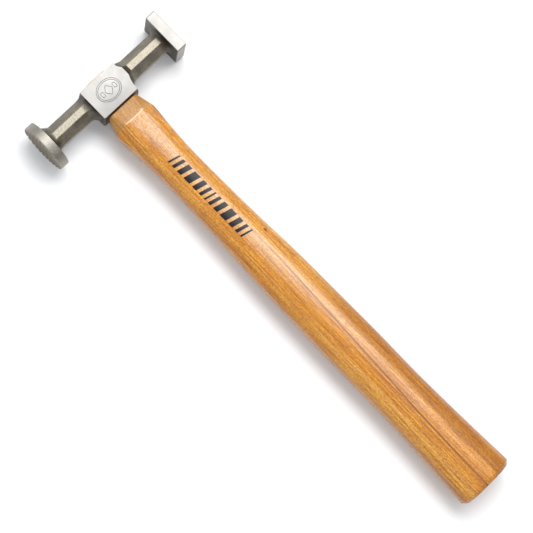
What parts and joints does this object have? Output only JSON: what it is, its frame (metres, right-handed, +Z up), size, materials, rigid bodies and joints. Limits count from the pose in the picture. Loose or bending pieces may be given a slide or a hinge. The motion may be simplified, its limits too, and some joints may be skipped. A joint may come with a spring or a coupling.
{
  "type": "body hammer",
  "caption": "Sheet-metal body hammer: slim forged head with a flat square face and a round serrated face on octagonal necks, wedged on a flared wooden handle.",
  "frame": {"origin": "centre of the bounding box's underside: under the middle of the hammer, on the surface it lies on", "axes": "+X along the head towards the square face, +Y along the handle towards the head, +Z up out of the cheek that faces up as the hammer lies on its side"},
  "size_m": [0.1046, 0.341, 0.032],
  "materials": {
    "head_steel": "satin forged steel, ground bright on the cheeks and the square block",
    "hickory": "clear gloss lacquer",
    "wedge_wood": "sawn and sanded end grain",
    "wedge_steel": "bare pressed steel"
  },
  "bodies": {
    "root": {"head": "head_steel", "handle": "hickory", "wood_wedge": "wedge_wood", "steel_wedge_square_side": "wedge_steel", "steel_wedge_round_side": "wedge_steel"}
  },
  "joints": []
}
